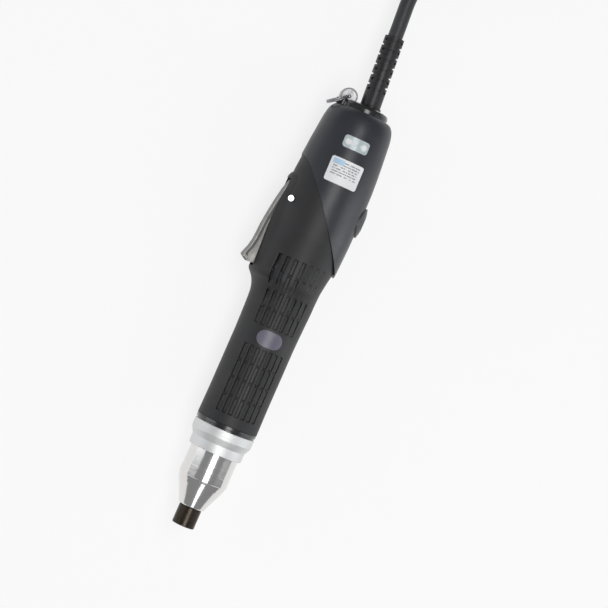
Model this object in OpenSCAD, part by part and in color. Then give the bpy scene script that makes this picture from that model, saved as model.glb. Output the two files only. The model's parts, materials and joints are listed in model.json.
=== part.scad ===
// Electric torque screwdriver, lying on its side with its label up.
// Millimetres. Every piece is drawn upright on the tool's own axis, z up from the bit end to the
// cable, with the lever towards -x and the label towards -y. lay_down() then puts it on the table.

/* [Body] */
// Diameter of the straight part of the grip
grip_d = 35; // [34:0.5:36]
// Thickness of the soft grip cover
cover_t = 1.6; // [1.4:0.1:1.8]
// How far the hard shell stands proud of the grip cover
shell_step = 0.5; // [0.3:0.1:0.8]
// Slope of the edge between the grip cover and the hard shell, height per width
cover_slope = 1.3; // [1.1:0.05:1.5]
// Height of that edge on the tool's axis
cover_top = 187.2; // [186:0.2:188.4]

/* [Controls] */
// How far the lever turns when it is pressed, in degrees
lever_press = 6.5; // [5:0.5:6.5]
// Width of the lever
lever_w = 10; // [9:0.5:10]
// Length of the forward and reverse rocker around the body
rocker_l = 23.6; // [22:0.2:23.6]
// Width of the rocker along the body
rocker_w = 17.2; // [16:0.2:17.2]

/* [Nose] */
// Width across the flats of the bit socket
bit_af = 6.35; // [6.35:0.05:6.4]
// Outer diameter of the chuck sleeve
sleeve_d = 13; // [12.8:0.1:13]
// Outer diameter of the torque nut
nut_d = 28; // [27.8:0.1:28.1]
// Number of balls in the clutch
clutch_balls_n = 3; // [3:1:6]

/* [Gears] */
// Module of every gear
gear_m = 0.5; // [0.5:0.01:0.5]
// Teeth on the sun gears and the planets
sun_teeth = 15; // [15:6:15]
// Planets in each of the two stages
planet_n = 3; // [3:1:3]

/* [Cord] */
// Diameter of the cord
cord_d = 8.5; // [8:0.1:8.6]
// Lean of the strain relief towards the lever, in degrees
relief_lean = 3.9; // [3:0.1:4.5]
/* [Hidden] */

$fn = 64;
fit = 0.05; // running clearance on a radius
seat = 0.02; // clearance between pieces that sit in each other
far = 60; // a cut that has to pass right through

grip_r = grip_d / 2;
grip_bottom = 61.5;
body_top = 248.8;

// ---- where the tool lies ----
relief_len = 41.5;
relief_base = [2.1, 0, 253.4];
relief_r = 5.75;
relief_tip = relief_base + relief_len * [-sin(relief_lean), 0, cos(relief_lean)];
tool_len = relief_tip[2] + (relief_r - 0.2) * sin(relief_lean);
lever_reach = 30.9;
rocker_reach = 25.35;
side_shift = (lever_reach - rocker_reach) / 2;

module lay_down() {
    translate([tool_len / 2, side_shift, axis_height])
        rotate([-90, 0, 90])
            children();
}

// A point of the upright tool, where it is once the tool lies down
function laid(p) = [tool_len / 2 - p[2], side_shift + p[0], axis_height - p[1]];

// ---- skins: height, reach on the lever side, reach on the rocker side, both beyond grip_r ----
// The cover's skin swells into the finger stop under the lever and the head behind it.
COVER_SKIN = [
    [58, 0.2, 0.2], [62, 0.2, 0.2], [78, 0, 0], [112, 0, 0], [124, 0.3, 0.3], [132, 0.6, 0.6],
    [136, 1.0, 0.7], [140, 2.3, 0.7], [143, 4.1, 0.8], [145.5, 6.4, 0.85], [148, 7.0, 1.0],
    [151.5, 6.8, 1.5], [155, 6.3, 2.0], [160, 5.8, 2.9], [170, 5.2, 4.2], [180, 5.3, 4.8],
    [192, 5.5, 4.8], [206, 5.0, 4.8], [218, 4.0, 4.2], [230, 3.2, 3.2]
];
// The hard shell's skin closes over the head and rounds in at its top.
SHELL_SKIN = [
    [140, 3.0, 2.6], [150, 6.8, 3.2], [156, 6.7, 3.9], [160, 6.3, 4.4], [165, 5.8, 4.7],
    [171, 5.7, 4.95], [177, 5.7, 5.2], [184, 5.8, 5.3], [196, 5.9, 5.3], [206, 5.5, 5.25],
    [212, 5.1, 5.05], [221, 4.3, 4.5], [228, 3.7, 3.9], [235, 2.95, 3.3], [240, 2.4, 2.8],
    [243.5, 1.75, 2.1], [246, 0.9, 1.2], [247.6, -0.2, 0.1], [248.5, -1.2, -0.9],
    [248.8, -1.9, -1.6]
];

function row_at(t, z) = min(len(t) - 2, max(0, len([for (r = t) if (r[0] <= z) 1]) - 1));
function rise(t, i, k) =
    let (a = max(0, i - 1), b = min(len(t) - 1, i + 1))
    (t[b][k] - t[a][k]) / (t[b][0] - t[a][0]);
// A smooth curve through column k of table t
function blend_at(t, z, k) =
    let (
        i = row_at(t, z),
        h = t[i + 1][0] - t[i][0],
        s = (z - t[i][0]) / h
    )
    (2 * s ^ 3 - 3 * s ^ 2 + 1) * t[i][k]
    + (s ^ 3 - 2 * s ^ 2 + s) * h * rise(t, i, k)
    + (3 * s ^ 2 - 2 * s ^ 3) * t[i + 1][k]
    + (s ^ 3 - s ^ 2) * h * rise(t, i + 1, k);
function skin_r(t, z) = grip_r + (blend_at(t, z, 1) + blend_at(t, z, 2)) / 2;
function skin_x(t, z) = (blend_at(t, z, 2) - blend_at(t, z, 1)) / 2;

SIDES = 40; // flats round a whole skin
// The part of a ring of a skin from angle a0 to a1, at height z and inset by t_in
function skin_arc(t, z, t_in, a0, a1) =
    let (r = skin_r(t, z) - t_in, x = skin_x(t, z), n = round(SIDES * (a1 - a0) / 360))
    [for (i = [0:n]) let (a = a0 + (a1 - a0) * i / n) [x + r * cos(a), r * sin(a), z]];

function flat_list(l) = [for (a = l) for (b = a) b];

// A solid through rings of points that all have the same count, lowest ring first
module ring_loft(rings) {
    n = len(rings[0]);
    m = len(rings);
    polyhedron(
        points = flat_list(rings),
        faces = concat(
            [[for (i = [0:n - 1]) i]],
            [for (k = [0:m - 2]) for (i = [0:n - 1]) let (j = (i + 1) % n)
                [k * n + i, (k + 1) * n + i, k * n + j]],
            [for (k = [0:m - 2]) for (i = [0:n - 1]) let (j = (i + 1) % n)
                [k * n + j, (k + 1) * n + i, (k + 1) * n + j]],
            [[for (i = [n - 1:-1:0]) (m - 1) * n + i]]
        )
    );
}

COVER_LEVELS = concat(
    [for (z = [61.5, 66, 72, 80, 112, 120, 127, 132, 135, 137.5]) z],
    [for (z = [139.5:1.5:149]) z],
    [for (z = [151.5:4:167.5]) z],
    [for (z = [174:8:222]) z]
);
SHELL_LEVELS = concat(
    [for (z = [154:3:172]) z],
    [for (z = [178:8:234]) z],
    [238, 241, 243.5, 245, 246.2, 247.2, 248, 248.5, 248.8]
);

// The tool lies on the widest part of its head
axis_height = max([for (z = SHELL_LEVELS) skin_r(SHELL_SKIN, z)]);

// Half of a skin's solid, on the far side (a0 = 0) or the label side (a0 = 180)
module half_skin(t, levels, t_in, a0) {
    ring_loft([for (z = levels) skin_arc(t, z, t_in, a0, a0 + 180)]);
}

module whole_skin(t, levels, t_in) {
    ring_loft([for (z = levels) skin_arc(t, z, t_in, 0, 360 - 360 / SIDES)]);
}

// All that lies above the sloping edge between the cover and the shell, moved up by d
module above_edge(d) {
    rotate([90, 0, 0])
        linear_extrude(2 * far, center = true)
            polygon([
                [-far, cover_top + d + cover_slope * far],
                [far, cover_top + d - cover_slope * far],
                [far, 2 * cover_top]
            ]);
}

// ---- small helpers ----
module tube(r_out, r_in, z0, z1) {
    rotate_extrude()
        translate([r_in, z0])
            square([r_out - r_in, z1 - z0]);
}

module rod(r, z0, z1) {
    translate([0, 0, z0])
        cylinder(r = r, h = z1 - z0);
}

// A rod along y through the point x, z
module cross_rod(x, z, r, y0, y1) {
    translate([x, y0, z])
        rotate([-90, 0, 0])
            cylinder(r = r, h = y1 - y0);
}

module rounded_rect(w, h, r) {
    hull() {
        for (x = [-1, 1])
            for (y = [-1, 1])
                translate([x * (w / 2 - r), y * (h / 2 - r)])
                    circle(r, $fn = 24);
    }
}

// An outline in x and z at height z, as a prism along y on the label side
module label_prism(z) {
    translate([0, 0, z])
        rotate([90, 0, 0])
            linear_extrude(far)
                children();
}

// A ring that follows the shell's skin between two heights, from depth d1 out to depth d0
module skin_band(z0, z1, d0, d1) {
    x = skin_x(SHELL_SKIN, (z0 + z1) / 2);
    r0 = skin_r(SHELL_SKIN, z0);
    r1 = skin_r(SHELL_SKIN, z1);
    translate([x, 0, z0])
        difference() {
            cylinder(r1 = r0 - d0, r2 = r1 - d0, h = z1 - z0);
            translate([0, 0, -1])
                cylinder(r1 = r0 - d1, r2 = r1 - d1, h = z1 - z0 + 2);
        }
}

// A coil spring on the z axis, as a closed tube along a helix
SPRING_SIDES = 6;
SPRING_STEPS = 12;
module coil_spring(r, wire, z0, z1, turns) {
    n = turns * SPRING_STEPS;
    lift = (z1 - z0 - 2 * wire) / n;
    ring_loft([for (i = [0:n])
        [for (k = [0:SPRING_SIDES - 1])
            let (
                a = 360 * i / SPRING_STEPS,
                b = -360 * k / SPRING_SIDES,
                q = r + wire * cos(b)
            )
            [q * cos(a), q * sin(a), z0 + wire + lift * i + wire * sin(b)]]]);
}

// ---- controls: places ----
pivot = [-20.2, 189.6];
pin_r = 1.6;
slot_half = 5.5;
slot_floor = -17.2;
slot_z = [147.5, 200];
rocker_z = 193;
rocker_pivot = 16.5;
plunger_z = 179.5;
lens_z = 230.4;
lens_size = [14.8, 6.95];
label_z = 213.4;
label_size = [19, 14.2];
badge_z = 113.7;
badge_size = [14.7, 9.1];
SCREW_PLACES = [[-11.5, 238], [11.5, 238], [15.6, 212], [14.2, 176.5]];

module lever_slot() {
    translate([-far, -slot_half, slot_z[0]])
        cube([far + slot_floor, 2 * slot_half, slot_z[1] - slot_z[0]]);
}

// The rocker's outline in y and z as a prism along x, grown by g
module rocker_prism(g) {
    l = rocker_l + 2 * g;
    w = rocker_w + 2 * g;
    translate([0, 0, rocker_z])
        rotate([90, 0, 90])
            linear_extrude(far)
                union() {
                    square([l - w, w], center = true);
                    for (s = [-1, 1])
                        translate([s * (l - w) / 2, 0])
                            circle(d = w);
                }
}

// ---- housing ----
head_cavity_r = 19.4;
motor_bore_r = 14.1;
module housing_cavity() {
    rotate_extrude()
        polygon([
            [0, 50], [motor_bore_r, 50], [motor_bore_r, 150], [head_cavity_r - 1.5, 156],
            [head_cavity_r, 168], [head_cavity_r, 222], [17.5, 238], [16.2, 244], [13.8, 246.4],
            [13.8, 260], [0, 260]
        ]);
}

// One half of the hard housing; side is 1 on the far side and -1 on the label side
module shell_half(side) {
    a0 = side > 0 ? 0 : 180;
    difference() {
        union() {
            difference() {
                union() {
                    half_skin(COVER_SKIN, COVER_LEVELS, cover_t + seat, a0);
                    intersection() {
                        half_skin(SHELL_SKIN, SHELL_LEVELS, 0, a0);
                        above_edge(seat);
                    }
                }
                housing_cavity();
            }
            // trough behind the lever, clear of the cover's inner skin
            translate([-19.2, side > 0 ? 0 : -slot_half - 1.8, 150])
                cube([4, slot_half + 1.8, 52]);
            for (p = SCREW_PLACES)
                cross_rod(p[0], p[1], 2.7, side > 0 ? 0 : -13.2, side > 0 ? 13.2 : 0);
        }
        lever_slot();
        rocker_prism(0.5);
        cross_rod(pivot[0], pivot[1], pin_r, -far, far);
        // way through for the switch plunger
        translate([slot_floor - 1, 0, plunger_z])
            rotate([0, 90, 0])
                cylinder(r = 1.7, h = 4);
        for (p = SCREW_PLACES) {
            cross_rod(p[0], p[1], side > 0 ? 1.6 : 1.2, -10, 14);
            if (side > 0)
                cross_rod(p[0], p[1], 2.8, 11.4, far);
        }
        if (side < 0) {
            label_prism(lens_z)
                rounded_rect(lens_size[0] + 2 * seat, lens_size[1] + 2 * seat, 1.6);
            intersection() {
                skin_band(label_z - 9, label_z + 9, -2, 0.35);
                label_prism(label_z)
                    rounded_rect(label_size[0] + 0.1, label_size[1] + 0.1, 1.2);
            }
        }
    }
}

module shell_label_side() {
    color("#3b3d42")
        shell_half(-1);
}

module shell_far_side() {
    color("#3b3d42")
        shell_half(1);
}

// Rows of shallow slots pressed into the grip, in seven columns on each face
rib_w = 2.2;
rib_h = 9.3;
rib_pitch = 10.15;
rib_step = 12.4;
rib_depth = 0.35;
RIB_ROWS = [72.2, 72.2 + rib_pitch, 72.2 + 2 * rib_pitch, 72.2 + 3 * rib_pitch,
    124.6, 124.6 + rib_pitch, 124.6 + 2 * rib_pitch, 124.6 + 3 * rib_pitch];
module grip_slots() {
    for (face = [-90, 90])
        for (z = RIB_ROWS)
            for (c = [-3:3])
                rotate([0, 0, face + c * rib_step])
                    translate([skin_r(COVER_SKIN, z) - rib_depth, -rib_w / 2, z - rib_h / 2])
                        cube([3, rib_w, rib_h]);
}

module badge_outline(g) {
    w = badge_size[0] + g;
    h = badge_size[1] + g;
    square([w - h, h], center = true);
    for (s = [-1, 1])
        translate([s * (w - h) / 2, 0])
            circle(d = h);
}

// The raised cheeks on both sides of the lever's pivot
module lever_cheeks() {
    r = 14;
    translate([-10.6, 0, 0])
        rotate_extrude()
            polygon([
                [11.9, 174], [12.6, 179], [13.5, 184], [r, 190], [r, 199], [13.7, 201.6],
                [12.9, 203.4], [11.9, 204.4], [10.9, 204.4], [10.9, 174]
            ]);
}

module grip_cover() {
    color("#232326")
        difference() {
            union() {
                whole_skin(COVER_SKIN, COVER_LEVELS, 0);
                intersection() {
                    lever_cheeks();
                    translate([-far, -9, 170])
                        cube([far - 19.5, 18, 40]);
                }
            }
            whole_skin(COVER_SKIN, concat([60], COVER_LEVELS, [224]), cover_t);
            above_edge(0);
            lever_slot();
            cross_rod(pivot[0], pivot[1], pin_r + seat, -far, far);
            grip_slots();
            intersection() {
                tube(grip_r + 2, grip_r - 0.5, badge_z - 8, badge_z + 8);
                label_prism(badge_z)
                    badge_outline(0.1);
            }
        }
}

module grip_badge() {
    color("#625f6e")
        intersection() {
            tube(grip_r + 0.2, grip_r - 0.45, badge_z - 8, badge_z + 8);
            label_prism(badge_z)
                badge_outline(0);
        }
}

module label_plate() {
    color("#e6e8ea")
        intersection() {
            skin_band(label_z - 9, label_z + 9, -0.02, 0.3);
            label_prism(label_z)
                rounded_rect(label_size[0], label_size[1], 1.2);
        }
}

module lens() {
    color("#c9d2cd")
        intersection() {
            skin_band(lens_z - 5, lens_z + 5, 0, 1.9);
            label_prism(lens_z)
                rounded_rect(lens_size[0], lens_size[1], 1.6);
        }
}

module shell_screws() {
    color("#5c5f63")
        for (p = SCREW_PLACES)
            difference() {
                union() {
                    cross_rod(p[0], p[1], 1.2, -9, 11.4);
                    cross_rod(p[0], p[1], 2.6, 11.4, 13.2);
                }
                translate([p[0], 12.2, p[1]])
                    rotate([-90, 0, 0])
                        cylinder(r = 1.3, h = 4, $fn = 6);
            }
}

// ---- cable end of the body ----
lug_at = [-11.4, 254.6];
lug_r = 4.9;
lug_half = 2.3;
eyelet_hole = 1.2;
cap_r = 14;
cap_top = 253;

module relief_frame() {
    translate(relief_base)
        rotate([0, -relief_lean, 0])
            children();
}

module end_cap() {
    color("#17171a")
        difference() {
            union() {
                rotate_extrude()
                    polygon([
                        [0, 248.9], [cap_r, 248.9], [cap_r, 251], [cap_r - 0.6, 252.4],
                        [cap_r - 2, cap_top], [0, cap_top]
                    ]);
                rod(13.7, 244.5, 249);
                translate([lug_at[0] - 1.8, 0, 248.9]) {
                    translate([0, -4.2, 0])
                        cube([12, 8.4, 3]);
                    cylinder(r = 4.2, h = 3);
                }
                cross_rod(lug_at[0], lug_at[1], lug_r, -lug_half, lug_half);
                translate([lug_at[0] - lug_r, -lug_half, 250])
                    cube([2 * lug_r, 2 * lug_half, lug_at[1] - 250]);
            }
            rod(11.5, 240, 248.2);
            relief_frame()
                rod(5, -12, 12);
            cross_rod(lug_at[0], lug_at[1], 1.95, -far, far);
            for (s = [-1, 1])
                cross_rod(lug_at[0], lug_at[1], 4.05, s > 0 ? lug_half - 0.5 : -4, s > 0 ? 4 : 0.5 - lug_half);
        }
}

module eyelet() {
    color("#b9bbbe")
        difference() {
            union() {
                cross_rod(lug_at[0], lug_at[1], 1.95, -lug_half, lug_half);
                for (s = [-1, 1])
                    cross_rod(lug_at[0], lug_at[1], 4, s > 0 ? lug_half - 0.5 : -lug_half, s > 0 ? lug_half : 0.5 - lug_half);
            }
            cross_rod(lug_at[0], lug_at[1], eyelet_hole, -far, far);
        }
}

// The split ring hangs in the eyelet and points past the body's shoulder
ring_r = 6.1;
ring_wire = 0.5;
ring_angle = 217;
module split_ring() {
    color("#c4c6c8")
        translate([lug_at[0], 0, lug_at[1]])
            rotate([0, -ring_angle, 0])
                translate([ring_r, 0, 0])
                    for (s = [-1, 1])
                        translate([0, 0, s * 0.45])
                            rotate_extrude($fn = 48)
                                translate([ring_r, 0])
                                    circle(ring_wire, $fn = 16);
}

relief_rings = 11;
relief_pitch = 2.9;
module strain_relief() {
    color("#1a1a1c")
        relief_frame()
            difference() {
                rotate_extrude()
                    polygon([
                        [0, -6], [4.95, -6], [4.95, 0.2], [6.4, 0.2], [6.4, 1.0], [relief_r, 1.3],
                        [relief_r, 9], [relief_r - 0.2, relief_len], [0, relief_len]
                    ]);
                rod(3.2, -7, relief_len - cord_seat);
                rod(cord_r, relief_len - cord_seat - 0.01, relief_len + 1);
                for (k = [0:relief_rings - 1])
                    for (s = [0, 1])
                        rotate([0, 0, 180 * s + 90 * (k % 2) + 20])
                            translate([0, 0, 9.6 + k * relief_pitch])
                                rotate_extrude(angle = 140)
                                    translate([4.7, 0])
                                        square([3, 1.3]);
            }
}

// ---- lever ----
LEVER_FACE = [
    [-22.6, 199.2], [-24.3, 193], [-25.3, 187.5], [-26.2, 182], [-26.9, 176.5], [-27.5, 171],
    [-27.8, 165], [-28.1, 161], [-28.9, 157], [-29.9, 154.2], [-lever_reach, 151.4]
];
lever_wall = 1;
module lever_side() {
    polygon(concat(
        LEVER_FACE,
        [[-30.4, 150.6], [-27, 148.6], [-22.8, 149.2], [-22, 165], [-20.6, 178], [-18.2, 187.8],
            [-18.6, 197.6], [-20, 199.2]]
    ));
    translate(pivot)
        circle(r = 2.6);
}

module lever_hollow() {
    polygon(concat(
        [for (p = LEVER_FACE) p + [1.1, 0]],
        [[-29, 148], [-10, 148], [-10, 199]]
    ));
}

module lever() {
    color("#c3c5c8")
        difference() {
            union() {
                rotate([90, 0, 0])
                    difference() {
                        linear_extrude(lever_w, center = true)
                            lever_side();
                        linear_extrude(lever_w - 2 * lever_wall, center = true)
                            lever_hollow();
                    }
                // pad that pushes the switch
                translate([-25.8, -lever_w / 2 + 0.5, plunger_z - 2])
                    cube([6.85, lever_w - 1, 4]);
            }
            cross_rod(pivot[0], pivot[1], pin_r + fit, -far, far);
        }
}

module lever_pin() {
    half = 14.1;
    color("#d7d9db")
        cross_rod(pivot[0], pivot[1], pin_r, -half, half);
}

lever_spring_z = 160;
module lever_spring() {
    color("#b3b5b8")
        translate([slot_floor - 0.05, 0, lever_spring_z])
            rotate([0, -90, 0])
                coil_spring(2.4, 0.35, 0, 9.6, 5);
}

module start_switch() {
    color("#26262a")
        difference() {
            translate([-15.1, -3.1, 172])
                cube([6.6, 6.2, 14]);
            translate([-15.2, 0, plunger_z])
                rotate([0, 90, 0])
                    cylinder(r = 1.25, h = 3.6);
        }
}

plunger_travel = 1.2;
module switch_plunger() {
    color("#8e2c26")
        translate([-18.6, 0, plunger_z])
            rotate([0, 90, 0])
                cylinder(r = 1.2, h = 5.4);
}

// ---- rocker ----
module rocker() {
    dome_r = 16.1;
    rise_z = 1.35;
    bow = (rocker_w / 2) ^ 2 / 2 / rise_z;
    dish_r = 10;
    color("#2a2b2f")
        difference() {
            intersection() {
                translate([rocker_reach - dome_r, 0, rocker_z])
                    rotate_extrude()
                        polygon(concat(
                            [[0, rocker_w], [0, -rocker_w]],
                            [for (i = [-6:6]) let (h = rocker_w * i / 6)
                                [dome_r - h ^ 2 / 2 / bow, h]]
                        ));
                rocker_prism(0);
                translate([14.6, -far / 2, rocker_z - far / 2])
                    cube([far, far, far]);
            }
            for (s = [-1, 1])
                translate([rocker_reach + dish_r - 2.75, s * 7, rocker_z])
                    sphere(r = dish_r);
            translate([rocker_pivot, 0, rocker_z - rocker_w])
                cylinder(r = 1 + fit, h = 2 * rocker_w);
        }
}

module rocker_pin() {
    color("#b9bbbe")
        translate([rocker_pivot, 0, 0])
            rod(1, 182, 204);
}

module reverse_switch() {
    color("#303136")
        difference() {
            union() {
                translate([3, -6.5, 186])
                    cube([8, 13, 14]);
                translate([10, -5, 182])
                    cube([2.2, 10, 22]);
                for (z = [182, 202.1])
                    translate([12, -2.4, z])
                        cube([6.2, 4.8, 1.9]);
            }
            translate([rocker_pivot, 0, 0])
                rod(1, 180, 206);
        }
}

// ---- lamp and board ----
board_y = -13.4;
LED_X = [-4.65, 4.65];
module circuit_board() {
    color("#1f5c3a")
        difference() {
            translate([-11.5, board_y, 204])
                cube([23, 1.6, 30]);
            for (x = LED_X)
                cross_rod(x, lens_z, 0.5, -far, 0);
        }
}

module leds() {
    color("#eef2f4")
        for (x = LED_X) {
            cross_rod(x, lens_z, 1.9, board_y - 1, board_y);
            cross_rod(x, lens_z, 1.5, board_y - 3.6, board_y - 0.5);
            translate([x, board_y - 3.6, lens_z])
                sphere(r = 1.5);
        }
}

// ---- motor ----
can_r = 14;
can_z = [92.7, 141];
shaft_r = 1.5;
module motor_can() {
    color("#9a9da1")
        difference() {
            rod(can_r, can_z[0], can_z[1]);
            rod(12.9, can_z[0] + 4, can_z[1] + 1);
            rod(4, can_z[0] - 1, can_z[1]);
        }
}

module motor_magnets() {
    color("#3a3b3f")
        for (s = [0, 180])
            rotate([0, 0, s + 25])
                translate([0, 0, 101])
                    rotate_extrude(angle = 130)
                        translate([10.9, 0])
                            square([1.98, 33]);
}

module armature() {
    color("#8c5a3c")
        union() {
            rod(shaft_r, 83.4, 148);
            difference() {
                rod(10.3, 103, 131);
                for (k = [0:6])
                    rotate([0, 0, k * 360 / 7])
                        translate([9, -0.6, 100])
                            cube([4, 1.2, 40]);
            }
            rod(8, 100, 134);
            rod(4, 134, 140.3);
        }
}

module motor_bushes() {
    color("#b08d4f") {
        tube(4, shaft_r + fit, can_z[0] + 0.3, can_z[0] + 4.4);
        tube(4, shaft_r + fit, 143, 147);
    }
}

module brush_pair(r_in, r_out, half_y, z0, z1) {
    for (s = [0, 180])
        rotate([0, 0, s])
            translate([r_in, -half_y, z0])
                cube([r_out - r_in, 2 * half_y, z1 - z0]);
}

module motor_end_bell() {
    color("#2f3034")
        difference() {
            union() {
                rod(can_r, can_z[1], 147);
                brush_pair(5, 10, 2.5, 134.6, 142);
            }
            rod(4, 143, 148);
            rod(shaft_r + 1, 140, 148);
            rod(4.4, 130, 141.2);
            brush_pair(4, 11, 1.5, 135.4, 139.4);
        }
}

module motor_brushes() {
    color("#1c1c1e")
        difference() {
            brush_pair(3.9, 9.6, 1.45, 135.5, 139.3);
            rod(4 + fit, 130, 141);
        }
}

// ---- gears: involute teeth ----
// sun, planet and ring share one module; each stage turns down by 1 + ring / sun
ring_teeth = 3 * sun_teeth;
pitch_r = gear_m * sun_teeth / 2;
centre_r = 2 * pitch_r;
ring_pitch_r = gear_m * ring_teeth / 2;
press_angle = 20;
backlash = 0.16; // thinning of each tooth at the pitch circle, in mm

function roll(r, base) = r <= base ? 0 : sqrt((r / base) ^ 2 - 1) * 180 / PI - acos(base / r);
// The half angle of a tooth at radius r on a wheel of pitch radius p
function tooth_half(r, p, slack) =
    let (base = p * cos(press_angle))
    (PI * gear_m / 2 - slack) / p * 90 / PI + roll(p, base) - roll(r, base);
// The outline of a wheel from root r0 to tip r1; inside gears have a negative slack
function wheel(n, p, r0, r1, slack) =
    flat_list([for (k = [0:n - 1])
        let (a = 360 * k / n, steps = 4)
        concat(
            [for (i = [0:steps]) let (r = r0 + (r1 - r0) * i / steps)
                r * [cos(a - tooth_half(r, p, slack)), sin(a - tooth_half(r, p, slack))]],
            [for (i = [steps:-1:0]) let (r = r0 + (r1 - r0) * i / steps)
                r * [cos(a + tooth_half(r, p, slack)), sin(a + tooth_half(r, p, slack))]]
        )]);

module outside_gear(z0, z1) {
    translate([0, 0, z0])
        linear_extrude(z1 - z0)
            polygon(wheel(sun_teeth, pitch_r, pitch_r - 0.6, pitch_r + 0.42, backlash));
}

module ring_gear() {
    color("#8d9094")
        difference() {
            rod(can_r, 69.1, 92.5);
            translate([0, 0, 60])
                linear_extrude(40)
                    polygon(wheel(ring_teeth, ring_pitch_r, ring_pitch_r - 0.4,
                        ring_pitch_r + 0.62, -backlash));
        }
}

module pinion() {
    color("#b5a06a")
        difference() {
            outside_gear(83.4, 92.3);
            rod(shaft_r, 80, 100);
        }
}

// Planet k of a stage that lies between z0 and z1
module planet(k, z0, z1) {
    color("#c7b27a")
        rotate([0, 0, 360 * k / planet_n])
            translate([centre_r, 0, 0])
                difference() {
                    outside_gear(z0, z1);
                    rod(1.25, z0 - 1, z1 + 1);
                }
}

module carrier_pins(z0, z1) {
    for (k = [0:planet_n - 1])
        rotate([0, 0, 360 * k / planet_n])
            translate([centre_r, 0, 0])
                rod(1.2, z0, z1);
}

module first_carrier() {
    color("#a9acb0")
        union() {
            outside_gear(70.4, 80.2);
            rod(10.2, 80, 82.6);
            carrier_pins(82, 92.3);
        }
}

module second_carrier() {
    color("#a9acb0")
        difference() {
            union() {
                rod(10.2, 63.1, 68.4);
                carrier_pins(68, 79.6);
            }
            rod(2.55, 60, 69);
            for (k = [0:clutch_balls_n - 1])
                rotate([0, 0, 360 * k / clutch_balls_n])
                    translate([ball_track_r, 0, ball_z])
                        sphere(r = 1.52);
        }
}

// ---- clutch ----
ball_track_r = 8;
ball_z = 62.5;
module clutch_balls() {
    color("#d5d7d9")
        for (k = [0:clutch_balls_n - 1])
            rotate([0, 0, 360 * k / clutch_balls_n])
                translate([ball_track_r, 0, ball_z])
                    sphere(r = 1.5);
}

module clutch_cam() {
    color("#9b9ea2")
        difference() {
            tube(10.6, 4.5 + seat, 58.1, 62);
            rotate_extrude()
                translate([ball_track_r, ball_z])
                    circle(r = 1.56);
        }
}

module thrust_washer() {
    color("#b9bbbe")
        tube(11.1, 5, 56.5, 58);
}

module clutch_spring() {
    color("#7d8085")
        coil_spring(9.3, 0.85, 42.8, 56.45, 4);
}

module spring_washer() {
    color("#b9bbbe")
        tube(11, 6, 41.55, 42.75);
}

pins_r = 9.3;
module pressure_ring() {
    color("#8f9296")
        union() {
            tube(11, 7.6, 28.3, 30.3);
            for (k = [0:2])
                rotate([0, 0, 120 * k])
                    translate([pins_r, 0, 0])
                        rod(1.2, 30, 41.5);
        }
}

// ---- nose ----
nut_r = nut_d / 2;
module nose_housing() {
    color("#8a8d91")
        difference() {
            union() {
                tube(7.2, 5.6, 21.5, 39);
                rod(12.6, 36.5, 58);
                rod(15.9, 57.6, 61.45);
                rod(14.05, 61, 69);
            }
            rod(5.6, 20, 40);
            rod(11.2, 39, 70);
            for (k = [0:2])
                rotate([0, 0, 120 * k])
                    translate([pins_r, 0, 0])
                        rod(1.25, 30, 45);
        }
}

module torque_nut() {
    color("#d9dbde")
        rotate_extrude($fn = 96)
            polygon([
                [6.85, 11.5], [7.35, 11.5], [7.7, 12], [8.9, 15], [11, 19.8], [12.85, 24],
                [nut_r - 0.35, 26.4], [nut_r - 0.1, 27.6], [nut_r + 0.15, 27.9],
                [nut_r + 0.15, 32.5], [nut_r, 32.7], [nut_r, 53.4], [12.65, 53.4], [12.65, 32.2],
                [11.4, 31.2], [11.4, 28.25], [7.8, 28.25], [7.7, 16.4], [6.85, 12.4]
            ]);
}

module nose_collar() {
    color("#b7babd")
        rotate_extrude($fn = 96)
            polygon([
                [nut_r + 0.3, 44.3], [15.3, 44.3], [15.6, 44.6], [15.6, 49.6], [17.35, 52.8],
                [17.65, 53.5], [17.65, 58.2], [17.4, 58.5], [15.95, 58.5], [15.95, 57.58],
                [nut_r + 0.3, 57.58]
            ]);
}

module trim_ring() {
    color("#121214")
        rotate_extrude($fn = 96)
            polygon([
                [15.92, 58.55], [17.2, 58.55], [17.2, 59.4], [17.5, 59.5], [17.7, 59.8],
                [17.7, 61.2], [17.5, 61.45], [15.92, 61.45]
            ]);
}

module spindle() {
    color("#a4a7ab")
        difference() {
            union() {
                rod(4.8, 0.2, 14.4);
                rod(5.8, 14.2, 15.9);
                rod(4.5, 15.5, 62);
                rod(2.5, 61, 68.2);
            }
            tube(6, 4.45, 0.7, 1.2);
            translate([0, 0, -1])
                cylinder(d = bit_af / cos(30), h = 16, $fn = 6);
            for (s = [0, 180])
                rotate([0, 0, s])
                    translate([0, 0, 2.8])
                        rotate([0, 90, 0])
                            cylinder(r = 1.22, h = 8);
        }
}

module sleeve_clip() {
    color("#77797d")
        tube(5.45, 4.45, 0.72, 1.18);
}

module chuck_balls() {
    color("#d5d7d9")
        for (s = [-1, 1])
            translate([s * 3.55, 0, 2.8])
                sphere(r = 1.2);
}

module spindle_bush() {
    color("#b08d4f")
        union() {
            tube(5.6, 4.5 + fit, 20.3, 38.6);
            tube(6.9, 4.5 + fit, 20.3, 21.5);
        }
}

module chuck_sleeve() {
    color("#2c2620")
        rotate_extrude()
            difference() {
                polygon([
                    [5.8, 0], [sleeve_d / 2 - 0.3, 0], [sleeve_d / 2, 0.3], [sleeve_d / 2, 10.6],
                    [sleeve_d / 2 - 0.2, 11], [5.9, 11], [5.9, 4.2], [4.85, 4.2], [4.85, 1.25],
                    [5.8, 1.25]
                ]);
                for (k = [0:5])
                    translate([sleeve_d / 2 - 0.18, 2.6 + 1.2 * k])
                        square([1, 0.4]);
            }
}

module chuck_spring() {
    color("#b3b5b8")
        coil_spring(5.35, 0.35, 4.3, 14.15, 4);
}

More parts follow.
